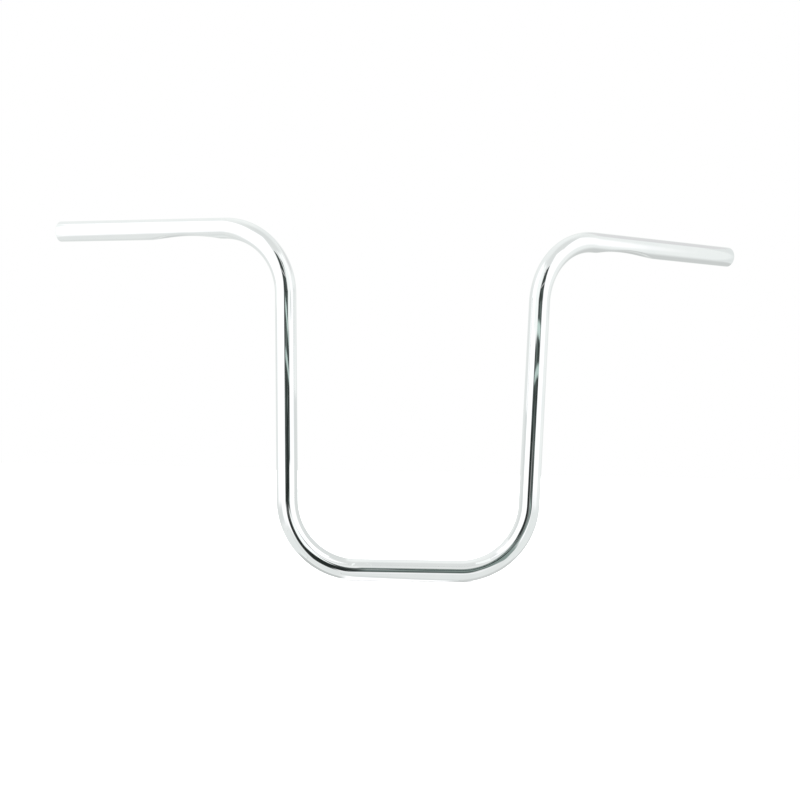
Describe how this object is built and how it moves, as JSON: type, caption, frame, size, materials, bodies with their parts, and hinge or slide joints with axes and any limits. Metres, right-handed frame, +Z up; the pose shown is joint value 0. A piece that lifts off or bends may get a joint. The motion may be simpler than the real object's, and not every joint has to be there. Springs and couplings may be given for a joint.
{
  "type": "handlebar",
  "caption": "Tall motorcycle handlebar bent from one-inch chromed tube, with a clamp run between upright legs, swept-back arms, wiring dimples and push-in end plugs.",
  "frame": {"origin": "middle of the clamp run's centre line, where the risers hold the bar", "axes": "+X along the clamp run towards the clutch-side grip (the rider's left), +Y towards the rider, the way the arms sweep back, +Z up the legs"},
  "size_m": [0.8802, 0.1674, 0.4362],
  "materials": {
    "chromed_steel": "mirror-polished chrome plate",
    "plug_plastic": "fine moulded grain"
  },
  "bodies": {
    "root": {"handlebar_tube": "chromed_steel", "clutch_side_end_plug": "plug_plastic", "throttle_side_end_plug": "plug_plastic"}
  },
  "joints": []
}
